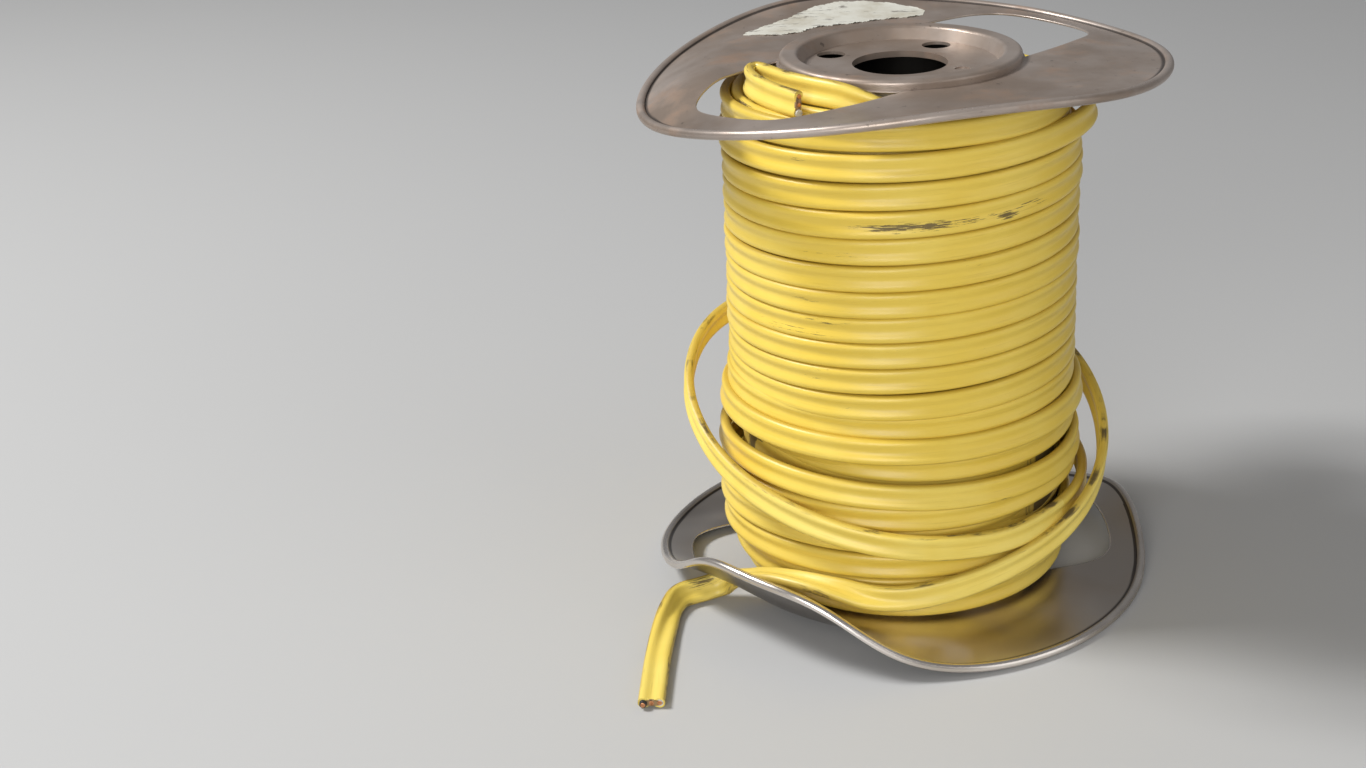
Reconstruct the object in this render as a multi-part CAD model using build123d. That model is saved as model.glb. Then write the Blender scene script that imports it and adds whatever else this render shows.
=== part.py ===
"""A bent steel reel of flat building cable.

The reel stands on its bottom hub cap. The origin is on the reel's axis, at the level that it
stands on, with +Z up through both arbor holes. The bent corner of the bottom flange is at the
front left, where the cable's cut end lies on the ground. Sizes are in millimetres.
"""
import math
import os

from build123d import *

# Barrel: a seamed tinplate tube between the flanges
BARREL_DIAMETER = 84.0
BARREL_WALL = 0.6
BARREL_LENGTH = 208.6
BARREL_LEDGE = 0.5

# Flanges: stamped sheet with a rolled rim; the barrel stands on the ledge round each bore
FLANGE_DIAMETER = 203.2
FLANGE_SHEET = 0.9
RIM_BEAD_DIAMETER = 3.6
FLANGE_BORE_DIAMETER = BARREL_DIAMETER - 2 * BARREL_LEDGE
BEND_START_RADIUS = 69.0
BEND_EASE = 0.3
BOTTOM_RIM_DROP = 2.1

# How far each bent place of the rims is lifted or pressed down
TOP_LEFT_DROP = 13.5
TOP_FRONT_LIFT = 6.5
TOP_BACK_LIFT = 4.5
TOP_RIGHT_DROP = 3.0
BOTTOM_CORNER_LIFT = 29.0
BOTTOM_LEFT_LIFT = 5.0
BOTTOM_RIGHT_LIFT = 12.5

# Hub caps: a dish pressed into each end, with a rolled lip that holds the flange
HUB_LIP_OVERLAP = 4.7
HUB_LIP_DIAMETER = FLANGE_BORE_DIAMETER + 2 * HUB_LIP_OVERLAP
HUB_LIP_HEIGHT = 4.5
HUB_LIP_CROWN = 1.7
HUB_DISH_INSET = 2.0
HUB_DISH_DIAMETER = FLANGE_BORE_DIAMETER - 2 * HUB_DISH_INSET
HUB_DISH_TAPER = 2.5
HUB_DISH_FLOOR_DIAMETER = HUB_DISH_DIAMETER - 2 * HUB_DISH_TAPER
HUB_DISH_DEPTH = 5.0
HUB_SHEET = 1.2
ARBOR_DIAMETER = 36.5
ARBOR_COLLAR_HEIGHT = 2.4
DRIVE_HOLE_DIAMETER = 11.2
DRIVE_HOLE_RADIUS = 30.2
DRIVE_HOLE_ANGLES = (55.0, 145.0)
DIMPLE_DIAMETER = 5.6
DIMPLE_DEPTH = 0.5
DIMPLE_RADIUS = 25.7
DIMPLE_ANGLE = -32.0

# Windows of each flange: two, opposite each other, from beside the hub's lip out
WINDOW_HALF_WIDTH = 35.0
WINDOW_OUTER_RADIUS = 88.0
WINDOW_LIP_GAP = 1.0
WINDOW_INNER_RADIUS = HUB_LIP_DIAMETER / 2 + WINDOW_LIP_GAP
WINDOW_CORNER = 9.0
TOP_WINDOW_ANGLE = 36.0
BOTTOM_WINDOW_ANGLE = 4.0

# Cable: flat, two insulated conductors and a bare one in one jacket
CABLE_WIDTH = 10.4
CABLE_THICKNESS = 4.1
TURN_GAP = 0.2
LAYER_GAP = 0.43
LAYERS = 6
TURN_CROWN = 0.9
TURN_SHARES = (0.0, 0.17, 0.83)
END_CROWN = 0.7
SWELL = 2.0
SWELL_HEIGHT = 62.0
SWELL_SPREAD = 34.0

# Cable start: the inner end, folded back on itself in the top flange's window. Each corner is
# given by its x past the winding's bore on the -X side, and its y
START_ROUTE = ((-8.2, -3.5), (-16.7, -6.0), (-19.7, -16.0), (-2.7, -49.0))
START_FOLD_RADII = (3.4, 4.6)

# Clearances
SEAT = 0.3

# Loose cable, from where it leaves the winding to its cut end: angle, distance out from the
# winding and height, then plain x, y and z for the tail on the ground
LOOSE_TURN = (
    (306.0, 8.2, 44.5),
    (283.0, 8.4, 42.3),
    (260.0, 9.4, 45.9),
    (240.0, 10.7, 50.6),
    (220.0, 12.8, 56.8),
    (199.0, 15.5, 65.3),
    (178.0, 18.9, 79.6),
    (158.0, 17.3, 93.2),
    (135.0, 12.8, 97.6),
    (108.0, 10.5, 95.0),
    (79.0, 10.1, 89.5),
    (51.0, 10.7, 85.0),
    (26.0, 13.1, 78.0),
    (3.0, 14.7, 64.0),
    (340.0, 13.9, 47.6),
    (316.0, 11.1, 35.8),
    (288.0, 9.6, 27.4),
    (260.0, 9.1, 21.4),
    (238.0, 9.1, 28.0),
    (218.0, 9.5, 26.5),
)
TAIL = (
    (-71.5, -35.5, 13.0),
    (-77.0, -30.5, 7.0),
    (-85.5, -31.5, 4.6),
    (-93.5, -36.5, 4.0),
    (-99.5, -46.0, 3.8),
    (-102.8, -60.0, 3.7),
    (-104.6, -78.0, 3.8),
    (-105.4, -96.0, 3.7),
    (-106.4, -113.0, 3.8),
)
CORNER_SHARE = 0.45

# Heights that follow from the sizes above
BOTTOM_SHEET_TOP = HUB_LIP_HEIGHT
TOP_SHEET_BOTTOM = BOTTOM_SHEET_TOP + BARREL_LENGTH
TOP_SHEET_TOP = TOP_SHEET_BOTTOM + FLANGE_SHEET
FLANGE_RADIUS = FLANGE_DIAMETER / 2
BEAD_RADIUS = RIM_BEAD_DIAMETER / 2
BEAD_PATH_RADIUS = FLANGE_RADIUS - BEAD_RADIUS
BORE_RADIUS = BARREL_DIAMETER / 2 + SEAT
LAYER_PITCH = CABLE_THICKNESS + LAYER_GAP
TURN_PITCH = CABLE_WIDTH + TURN_GAP
TURN_ROWS = int((BARREL_LENGTH - 2 * (SEAT + END_CROWN)) / TURN_PITCH)
WINDING_RADIUS = BORE_RADIUS + LAYERS * LAYER_PITCH
WINDING_BOTTOM = BOTTOM_SHEET_TOP + SEAT + END_CROWN
WINDING_TOP = WINDING_BOTTOM + TURN_ROWS * TURN_PITCH
LOOSE_TUBE_DIAMETER = math.sqrt(4 * CABLE_WIDTH * CABLE_THICKNESS / math.pi)

# Bends of each rim: angle, width along the rim in degrees, and how far the rim is lifted there
TOP_BENDS = (
    (184.0, 46.0, -TOP_LEFT_DROP),
    (282.0, 34.0, TOP_FRONT_LIFT),
    (108.0, 25.0, TOP_BACK_LIFT),
    (25.0, 30.0, -TOP_RIGHT_DROP),
)
BOTTOM_BENDS = (
    (228.0, 29.0, BOTTOM_CORNER_LIFT),
    (185.0, 22.0, BOTTOM_LEFT_LIFT),
    (12.0, 19.0, BOTTOM_RIGHT_LIFT),
)

# Loft of each bent flange: where its two halves meet, and the sections and points of each
HALF_START_ANGLE = 60.0
SECTIONS_PER_HALF = 13
BEAD_SIDES = 8
CUT_REACH = 120.0


def angle_between(first: float, second: float) -> float:
    """The smallest angle between two directions, in degrees."""
    return abs((first - second + 180.0) % 360.0 - 180.0)


def rim_lift(bends, angle: float) -> float:
    """How far the rim is bent up at an angle: each bend is a bell along the rim."""
    return sum(lift * math.exp(-((angle_between(angle, at) / width) ** 2)) for at, width, lift in bends)


def flange_section(bends, drop: float, sheet_bottom: float, angle: float) -> Wire:
    """The flange's section at one angle: the sheet from its bore out, and the rolled rim."""
    turn = math.radians(angle)
    plane = Plane(
        origin=(0, 0, 0),
        x_dir=(math.cos(turn), math.sin(turn), 0),
        z_dir=(math.sin(turn), -math.cos(turn), 0),
    )
    bore = FLANGE_BORE_DIAMETER / 2
    sheet_top = sheet_bottom + FLANGE_SHEET
    join = BEAD_PATH_RADIUS - math.sqrt(BEAD_RADIUS**2 - (FLANGE_SHEET / 2) ** 2)
    lift = rim_lift(bends, angle) - drop
    bend_end = BEND_START_RADIUS + BEND_EASE * (join - BEND_START_RADIUS)
    low = [(BEND_START_RADIUS, sheet_bottom), (bend_end, sheet_bottom), (join, sheet_bottom + lift)]
    high = [(radius, height + FLANGE_SHEET) for radius, height in low]
    middle = sheet_bottom + FLANGE_SHEET / 2 + lift
    bead = [low[-1]]
    for side in range(1, BEAD_SIDES):
        at = math.pi * (2 * side / BEAD_SIDES - 1)
        bead.append((BEAD_PATH_RADIUS + BEAD_RADIUS * math.cos(at), middle + BEAD_RADIUS * math.sin(at)))
    bead.append(high[-1])
    edges = [
        Line((bore, sheet_bottom), low[0]),
        Bezier(*low),
        *[Line(here, there) for here, there in zip(bead, bead[1:])],
        Bezier(*reversed(high)),
        Line(high[0], (bore, sheet_top)),
        Line((bore, sheet_top), (bore, sheet_bottom)),
    ]
    return plane * Wire(edges)


def window_outline(angle: float) -> Sketch:
    """One D-shaped window: straight sides, an arc outside and the hub's arc inside."""
    blank = Circle(WINDOW_OUTER_RADIUS) - Circle(WINDOW_INNER_RADIUS)
    strip = Pos(WINDOW_OUTER_RADIUS, 0) * Rectangle(2 * WINDOW_OUTER_RADIUS, 2 * WINDOW_HALF_WIDTH)
    outline = blank & strip
    outer_corners = outline.vertices().sort_by(Axis.X)[-2:]
    outline = fillet(outer_corners, WINDOW_CORNER)
    return Rot(0, 0, angle) * outline


def warped_flange(bends, drop: float, sheet_bottom: float, window_angle: float) -> Part:
    """A bent stamped disc with its two windows and its rolled rim, as one solid."""
    flange = Part()
    for first in (HALF_START_ANGLE, HALF_START_ANGLE + 180.0):
        step = 180.0 / (SECTIONS_PER_HALF - 1)
        angles = [first + i * step for i in range(SECTIONS_PER_HALF)]
        sections = [flange_section(bends, drop, sheet_bottom, angle) for angle in angles]
        flange += Solid.make_loft(sections)
    for angle in (window_angle, window_angle + 180.0):
        outline = Pos(0, 0, sheet_bottom - CUT_REACH) * window_outline(angle)
        flange -= extrude(outline, 2 * CUT_REACH)
    return flange


def hub_cap() -> Part:
    """A pressed dish with its rolled lip, arbor collar and drive holes, standing lip up on z = 0."""
    lip = HUB_LIP_DIAMETER / 2
    wall = HUB_DISH_DIAMETER / 2
    floor = HUB_DISH_FLOOR_DIAMETER / 2
    arbor = ARBOR_DIAMETER / 2
    lip_top = HUB_LIP_HEIGHT - FLANGE_SHEET
    web_top = lip_top - HUB_DISH_DEPTH
    web_bottom = web_top - HUB_SHEET
    collar_bottom = web_top - ARBOR_COLLAR_HEIGHT
    corners = (
        (arbor, web_top),
        (floor, web_top),
        (wall, lip_top),
        (lip, lip_top),
        (lip, 0),
        (wall + HUB_SHEET, 0),
        (floor + HUB_SHEET, web_bottom),
        (arbor + HUB_SHEET, web_bottom),
        (arbor + HUB_SHEET, collar_bottom),
        (arbor, collar_bottom),
    )
    with BuildPart() as cap:
        with BuildSketch(Plane.XZ) as section:
            with BuildLine():
                Polyline(*corners, close=True)
            make_face()
            fillet(section.vertices().group_by(Axis.Y)[-1], HUB_LIP_CROWN)
        revolve(axis=Axis.Z)
        for angle in DRIVE_HOLE_ANGLES:
            with BuildSketch(Plane.XY.offset(web_top)):
                with PolarLocations(DRIVE_HOLE_RADIUS, 1, start_angle=angle):
                    Circle(DRIVE_HOLE_DIAMETER / 2)
            extrude(amount=-2 * HUB_SHEET, mode=Mode.SUBTRACT)
        with BuildSketch(Plane.XY.offset(web_top)):
            with PolarLocations(DIMPLE_RADIUS, 1, start_angle=DIMPLE_ANGLE):
                Circle(DIMPLE_DIAMETER / 2)
        extrude(amount=-DIMPLE_DEPTH, mode=Mode.SUBTRACT)
    return cap.part


def row_radius(height: float) -> float:
    """The winding's radius at a height: the slack lower turns stand out a little."""
    return WINDING_RADIUS + SWELL * math.exp(-(((height - SWELL_HEIGHT) / SWELL_SPREAD) ** 2))


def winding() -> Part:
    """The wound cable: one turned solid, with a crest on each turn and each layer's edge."""
    corners = []
    for layer in range(LAYERS):
        inner = BORE_RADIUS + layer * LAYER_PITCH
        corners.append((inner, WINDING_BOTTOM))
        corners.append((inner + LAYER_PITCH / 2, WINDING_BOTTOM - END_CROWN))
    for row in range(TURN_ROWS):
        low = WINDING_BOTTOM + row * TURN_PITCH
        for share in TURN_SHARES:
            height = low + share * TURN_PITCH
            corners.append((row_radius(height) + (TURN_CROWN if share else 0.0), height))
    for layer in range(LAYERS, 0, -1):
        outer = BORE_RADIUS + layer * LAYER_PITCH
        corners.append((outer, WINDING_TOP))
        corners.append((outer - LAYER_PITCH / 2, WINDING_TOP + END_CROWN))
    corners.append((BORE_RADIUS, WINDING_TOP))
    with BuildPart() as wound:
        with BuildSketch(Plane.XZ):
            with BuildLine():
                Polyline(*corners, close=True)
            make_face()
        revolve(axis=Axis.Z)
    return wound.part


def cable_start() -> Part:
    """The inner end, on its edge on top of the winding and folded back on itself."""
    corners = [(x - BORE_RADIUS, y) for x, y in START_ROUTE]
    line = FilletPolyline(*corners, radius=list(START_FOLD_RADII))
    strap = trace(line, line_width=CABLE_THICKNESS)
    low = WINDING_TOP + END_CROWN + SEAT
    return extrude(Pos(0, 0, low) * strap, CABLE_WIDTH)


def loose_points() -> list:
    """The loose turn's corners round the winding, then the tail's."""
    points = []
    for angle, stand_off, height in LOOSE_TURN:
        turn = math.radians(angle)
        radius = WINDING_RADIUS + stand_off
        points.append(Vector(radius * math.cos(turn), radius * math.sin(turn), height))
    points.extend(Vector(*corner) for corner in TAIL)
    return points


def loose_cable() -> Part:
    """The free stretch of the cable: straight runs joined by tangent arcs."""
    points = loose_points()
    radii = []
    for before, here, after in zip(points, points[1:], points[2:]):
        turn = math.radians((here - before).get_angle(after - here))
        shorter = min((here - before).length, (after - here).length)
        radii.append(CORNER_SHARE * shorter / math.tan(turn / 2))
    path = FilletPolyline(*points, radius=radii)
    start = Plane(origin=path @ 0, z_dir=path % 0)
    tube = sweep(start * Circle(LOOSE_TUBE_DIAMETER / 2), path=path)
    section = math.pi * (LOOSE_TUBE_DIAMETER / 2) ** 2
    print("loose cable radii", [round(radius, 1) for radius in radii])
    print("loose cable length", round(path.length, 1), "volume ratio", round(tube.volume / (section * path.length), 4))
    return tube


def build() -> dict:
    """Every node's solid, in place."""
    cap = hub_cap()
    barrel_outer = BARREL_DIAMETER / 2
    tube = Cylinder(barrel_outer, BARREL_LENGTH, align=(Align.CENTER, Align.CENTER, Align.MIN))
    tube -= Cylinder(barrel_outer - BARREL_WALL, BARREL_LENGTH, align=(Align.CENTER, Align.CENTER, Align.MIN))
    bottom_sheet = BOTTOM_SHEET_TOP - FLANGE_SHEET
    return {
        "barrel": Pos(0, 0, BOTTOM_SHEET_TOP) * tube,
        "top_flange": warped_flange(TOP_BENDS, 0.0, TOP_SHEET_BOTTOM, TOP_WINDOW_ANGLE),
        "bottom_flange": warped_flange(BOTTOM_BENDS, BOTTOM_RIM_DROP, bottom_sheet, BOTTOM_WINDOW_ANGLE),
        "top_hub_cap": Pos(0, 0, TOP_SHEET_TOP) * cap,
        "bottom_hub_cap": Pos(0, 0, bottom_sheet) * (Rot(180, 0, 0) * cap),
        "cable_winding": winding(),
        "cable_start": cable_start(),
        "loose_cable": loose_cable(),
    }


os.makedirs("parts", exist_ok=True)
for name, solid in build().items():
    export_step(solid, f"parts/{name}.step")
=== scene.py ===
"""The looks of a bent steel reel of flat yellow cable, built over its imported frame.

Sizes are in millimetres, in the part's own frame: the origin is on the reel's axis at floor level,
+Z is up, and the front is at 270 degrees. They become metres as a mesh is made.
"""

import logging
import math
from dataclasses import dataclass, field
from enum import Enum
from typing import Any, Sequence

import bpy
import numpy as np
from mathutils import Matrix

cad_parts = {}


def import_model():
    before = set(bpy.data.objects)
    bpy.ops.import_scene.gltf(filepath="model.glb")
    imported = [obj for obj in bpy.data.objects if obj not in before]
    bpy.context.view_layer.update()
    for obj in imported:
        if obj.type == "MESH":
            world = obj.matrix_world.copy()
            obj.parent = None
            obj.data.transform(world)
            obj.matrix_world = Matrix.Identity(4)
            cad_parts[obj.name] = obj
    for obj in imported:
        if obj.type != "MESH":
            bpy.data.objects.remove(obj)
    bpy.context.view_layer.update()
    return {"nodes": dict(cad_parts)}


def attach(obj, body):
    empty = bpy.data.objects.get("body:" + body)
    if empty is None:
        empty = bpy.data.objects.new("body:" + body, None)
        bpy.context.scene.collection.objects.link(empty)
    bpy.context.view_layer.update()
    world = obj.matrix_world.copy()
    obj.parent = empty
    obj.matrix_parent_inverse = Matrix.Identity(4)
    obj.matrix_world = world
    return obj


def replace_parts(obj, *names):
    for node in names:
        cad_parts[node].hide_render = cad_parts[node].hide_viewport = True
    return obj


Array = np.ndarray
Material = bpy.types.Material
Object = bpy.types.Object
Triple = tuple[float, float, float]
Quad = tuple[float, float, float, float]
Colour = Quad

LOG = logging.getLogger("cable_reel")
METRES_PER_MM = 0.001
TURN = 2.0 * math.pi
FRONT_TURN = 0.75
UP = np.array([0.0, 0.0, 1.0])


class Slot(Enum):
    """The record's material slots."""

    STEEL = "patinated_steel"
    TIN = "tinplate"
    JACKET = "cable_jacket"


class Mark(Enum):
    """Values kept on a mesh's points, which the finishes read."""

    ACROSS = "across"
    ALONG = "along"
    # Scuffs, and on the core the painted shade of the gaps between the outer turns.
    SCUFF = "scuff"
    # Rubbing above nought; below nought, painted shade in creases and under the sheet.
    WEAR = "wear"


class Fill(Enum):
    """What shows in a cable's cut end."""

    PAPER = "kraft_paper"
    COPPER = "copper_wire"
    DARK_CORE = "dark_core"
    WHITE_CORE = "white_core"


# ---------------------------------------------------------------- curves and grids


def ramp(values: Array, start: Array | float, length: Array | float) -> Array:
    """Nought up to start, one from a length past it and even between; a negative length falls."""
    return np.clip((values - start) / length, 0.0, 1.0)


def bell(offset: Array, width: float) -> Array:
    """A bell: e to the power of minus the square of the offset over the width."""
    return np.exp(-((offset / width) ** 2))


def smooth_between(at: Array, knots: Array, values: Array) -> Array:
    """A smooth curve through knots: cubic between each two, sloped like its neighbours' chord.

    Args:
        at: Where the curve is wanted.
        knots: Rising places of the known values.
        values: One value, or one row of values, at each knot.

    Returns:
        The curve's value, or row of values, at each place.
    """
    slopes = np.gradient(values, knots, axis=0)
    low = np.clip(np.searchsorted(knots, at, side="right") - 1, 0, len(knots) - 2)
    span = knots[low + 1] - knots[low]
    share = ramp(at, knots[low], span)
    if values.ndim > 1:
        share, span = share[:, None], span[:, None]
    square, cube = share**2, share**3
    return (
        (2 * cube - 3 * square + 1) * values[low]
        + (cube - 2 * square + share) * span * slopes[low]
        + (3 * square - 2 * cube) * values[low + 1]
        + (cube - square) * span * slopes[low + 1]
    )


def unit(vectors: Array) -> Array:
    """Each row divided by its length."""
    return vectors / np.maximum(np.linalg.norm(vectors, axis=-1, keepdims=True), 1e-12)


def square_to(vectors: Array, forward: Array) -> Array:
    """Each vector less its share along forward, made a unit vector."""
    return unit(vectors - forward * np.sum(vectors * forward, axis=1, keepdims=True))


def heading(path: Array) -> Array:
    """The unit vector forward along a path, at each of its points."""
    return unit(np.gradient(path, axis=0))


def run_along(path: Array) -> Array:
    """How far along a path each point is: the sum of the steps before it."""
    return np.concatenate([[0.0], np.cumsum(np.linalg.norm(np.diff(path, axis=0), axis=1))])


def leant(lean: Array, upright: Array, side: Array) -> tuple[Array, Array]:
    """Upright and side, both turned over towards the side by an angle."""
    cos, sin = np.cos(lean)[:, None], np.sin(lean)[:, None]
    return cos * upright + sin * side, cos * side - sin * upright


def ring(count: int) -> Array:
    """So many angles, evenly round a whole turn."""
    return np.linspace(0.0, TURN, count + 1)[:-1]


def around(angles: Array) -> Array:
    """The unit vector out from the reel's axis at each angle: cosine, sine and nought."""
    return np.stack([np.cos(angles), np.sin(angles), np.zeros_like(angles)], axis=-1)


def placed(angles: Array, radii: Array, heights: Array) -> Array:
    """Points at these angles, radii and heights: radius times cosine, radius times sine, height."""
    angles, radii, heights = np.broadcast_arrays(angles, radii, heights)
    return np.stack([np.cos(angles) * radii, np.sin(angles) * radii, heights], axis=-1)


def degrees_apart(angles: Array, at: float) -> Array:
    """The smallest angle, in degrees, between each angle in radians and one in degrees."""
    return np.abs((np.degrees(angles) - at + 180.0) % 360.0 - 180.0)


@dataclass(frozen=True)
class Swell:
    """A bell round the reel: its middle and its width in degrees, and its size."""

    angle_deg: float
    width_deg: float
    size: float

    def at(self, angles: Array) -> Array:
        """Its size at each angle, given in radians."""
        return self.size * bell(degrees_apart(angles, self.angle_deg), self.width_deg)


@dataclass
class Surface:
    """A mesh in the making: points, faces and the values at its points."""

    points: Array
    faces: list[list[int]]
    marks: dict[Mark, Array] = field(default_factory=dict)

    @classmethod
    def grid(
        cls,
        points: Array,
        wrap_rows: bool = False,
        caps: bool = False,
        marks: dict[Mark, Array] | None = None,
    ) -> "Surface":
        """A grid whose last column joins its first, so that each row is a ring.

        Each face joins point (i, j) to (i+1, j), (i+1, j+1) and (i, j+1).

        Args:
            points: Rows by columns of points.
            wrap_rows: Whether the last row joins the first too.
            caps: Whether the first and last rows are closed by a face each.
            marks: Values, rows by columns.

        Returns:
            The closed surface, with its faces outwards.
        """
        rows, columns = points.shape[:2]
        i, j = np.meshgrid(np.arange(rows if wrap_rows else rows - 1), np.arange(columns), indexing="ij")
        below, beside = (i + 1) % rows, (j + 1) % columns
        corners = (i * columns + j, below * columns + j, below * columns + beside, i * columns + beside)
        faces = np.stack(corners, axis=-1).reshape(-1, 4).tolist()
        if caps:
            faces.append(list(range(columns)))
            faces.append(list(range(rows * columns - 1, (rows - 1) * columns - 1, -1)))
        flat = {mark: np.asarray(value, float).reshape(-1) for mark, value in (marks or {}).items()}
        return cls(points.reshape(-1, 3), faces, flat).outward()

    def outward(self) -> "Surface":
        """Turns every face round where the enclosed volume comes out negative.

        The volume is a sixth of the sum, over each face's triangles from its first corner, of the
        triple product of their corners.

        Returns:
            This surface.
        """
        quads = np.array([face for face in self.faces if len(face) == 4])
        a, b, c, d = (self.points[quads[:, k]] for k in range(4))
        volume = np.einsum("ij,ij->", a, np.cross(b, c)) + np.einsum("ij,ij->", a, np.cross(c, d))
        for cap in (self.points[face] for face in self.faces if len(face) > 4):
            volume += np.einsum("j,ij->", cap[0], np.cross(cap[1:-1], cap[2:]))
        if volume < 0:
            self.faces = [face[::-1] for face in self.faces]
        return self

    @staticmethod
    def joined(surfaces: Sequence["Surface"]) -> "Surface":
        """Several surfaces as one.

        Args:
            surfaces: The surfaces, each with the marks that the first one has.

        Returns:
            Their points one after another, and their faces and marks.
        """
        faces, start = [], 0
        for surface in surfaces:
            faces.extend([[corner + start for corner in face] for face in surface.faces])
            start += len(surface.points)
        marks = {mark: np.concatenate([s.marks[mark] for s in surfaces]) for mark in surfaces[0].marks}
        return Surface(np.concatenate([s.points for s in surfaces]), faces, marks)

    def piece(self, name: str, material: Material, slot: Slot, crease_deg: float = 38.0) -> Object:
        """Makes the Blender object, smooth but for creases, riding on the reel.

        Args:
            name: The piece's name.
            material: Its finish.
            slot: The record's slot for its finish; not used.
            crease_deg: The angle between faces past which an edge stays sharp.

        Returns:
            The object, at the origin.
        """
        mesh = bpy.data.meshes.new(name)
        mesh.from_pydata((self.points * METRES_PER_MM).tolist(), [], self.faces)
        for mark, values in self.marks.items():
            attribute = mesh.attributes.new(mark.value, "FLOAT", "POINT")
            attribute.data.foreach_set("value", values.astype("f"))
        mesh.polygons.foreach_set("use_smooth", np.ones(len(mesh.polygons), bool))
        mesh.set_sharp_from_angle(angle=math.radians(crease_deg))
        mesh.update()
        piece = bpy.data.objects.new(name, mesh)
        bpy.context.scene.collection.objects.link(piece)
        piece.data.materials.append(material)
        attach(piece, "root")
        LOG.info("%s: %d points, %d faces", name, len(self.points), len(self.faces))
        return piece


# ---------------------------------------------------------------- shader maths


class Wire:
    """A socket whose arithmetic adds Math nodes."""

    def __init__(self, shader: "Shader", socket: bpy.types.NodeSocket) -> None:
        """Wraps a socket of a shader's tree."""
        self.shader = shader
        self.socket = socket

    def _math(self, operation: str, *values: Any) -> "Wire":
        """One Math node on these values."""
        return self.shader.node("ShaderNodeMath", {"operation": operation}, dict(enumerate(values)))

    def __add__(self, other: Any) -> "Wire":
        """Their sum."""
        return self._math("ADD", self, other)

    def __sub__(self, other: Any) -> "Wire":
        """Their difference."""
        return self._math("SUBTRACT", self, other)

    def __rsub__(self, other: Any) -> "Wire":
        """Their difference, the other way."""
        return self._math("SUBTRACT", other, self)

    def __mul__(self, other: Any) -> "Wire":
        """Their product."""
        return self._math("MULTIPLY", self, other)

    def __abs__(self) -> "Wire":
        """Its size without its sign."""
        return self._math("ABSOLUTE", self)

    __radd__, __rmul__ = __add__, __mul__

    def clamped(self) -> "Wire":
        """Held between nought and one."""
        return self._math("MINIMUM", self._math("MAXIMUM", self, 0.0), 1.0)

    def step(self, low: float, high: float) -> "Wire":
        """Nought below low, one above high and smooth between: a smoothstep."""
        ends = {"Value": self, "From Min": low, "From Max": high}
        return self.shader.node("ShaderNodeMapRange", {"interpolation_type": "SMOOTHSTEP"}, ends)


class Shader:
    """A material's node tree, made one node at a time."""

    def __init__(self, name: str) -> None:
        """Starts a material with an empty tree."""
        self.material = bpy.data.materials.new(name)
        self.material.use_nodes = True
        self.tree = self.material.node_tree
        self.tree.nodes.clear()

    def node(self, kind: str, settings: dict[str, Any], inputs: dict[Any, Any], output: Any = 0) -> Wire:
        """Adds a node: its settings first, then the values or links of its sockets.

        Args:
            kind: The node's type.
            settings: Its properties by name.
            inputs: Its sockets by name or number.
            output: The name or number of the socket that is returned.

        Returns:
            That socket.
        """
        made = self.tree.nodes.new(kind)
        for name, value in settings.items():
            setattr(made, name, value)
        for name, value in inputs.items():
            if isinstance(value, Wire):
                self.tree.links.new(value.socket, made.inputs[name])
            else:
                made.inputs[name].default_value = value
        return Wire(self, made.outputs[output])

    def place(self) -> Wire:
        """The point's own place on the object, in metres."""
        return self.node("ShaderNodeTexCoord", {}, {}, "Object")

    def mark(self, mark: Mark) -> Wire:
        """A value kept on the mesh's points."""
        return self.node("ShaderNodeAttribute", {"attribute_name": mark.value}, {}, "Fac")

    def scaled(self, vector: Wire, scale: Triple) -> Wire:
        """A vector stretched along each axis."""
        return self.node("ShaderNodeVectorMath", {"operation": "MULTIPLY"}, {0: vector, 1: scale})

    def joined(self, x: Any, y: Any, z: Any) -> Wire:
        """Three numbers as a vector."""
        return self.node("ShaderNodeCombineXYZ", {}, {"X": x, "Y": y, "Z": z})

    def noise(self, vector: Wire, scale: float, detail: float = 4.0, roughness: float = 0.55) -> Wire:
        """Cloudy noise from nought to one."""
        values = {"Vector": vector, "Scale": scale, "Detail": detail, "Roughness": roughness}
        return self.node("ShaderNodeTexNoise", {}, values, "Fac")

    def mix(self, share: Any, first: Any, second: Any) -> Wire:
        """A colour between two."""
        values = {"Factor": share, 6: first, 7: second}
        return self.node("ShaderNodeMix", {"data_type": "RGBA"}, values, 2)

    def bump(self, height: Wire, depth_mm: float, strength: float, normal: Wire | None = None) -> Wire:
        """A normal bent by a height that runs from nought to one over a depth."""
        values = {"Height": height, "Distance": depth_mm * METRES_PER_MM, "Strength": strength}
        return self.node("ShaderNodeBump", {}, values | ({"Normal": normal} if normal else {}))

    def finish(self, **sockets: Any) -> Material:
        """Ends the tree in a Principled shader.

        Args:
            **sockets: Its sockets by name, with _ for a space.

        Returns:
            The material.
        """
        values = {name.replace("_", " "): value for name, value in sockets.items()}
        surface = self.node("ShaderNodeBsdfPrincipled", {}, values)
        output = self.tree.nodes.new("ShaderNodeOutputMaterial")
        self.tree.links.new(surface.socket, output.inputs["Surface"])
        return self.material


def rgb(red: float, green: float, blue: float) -> Colour:
    """A linear colour with full alpha."""
    return (red, green, blue, 1.0)


# ---------------------------------------------------------------- finishes


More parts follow.
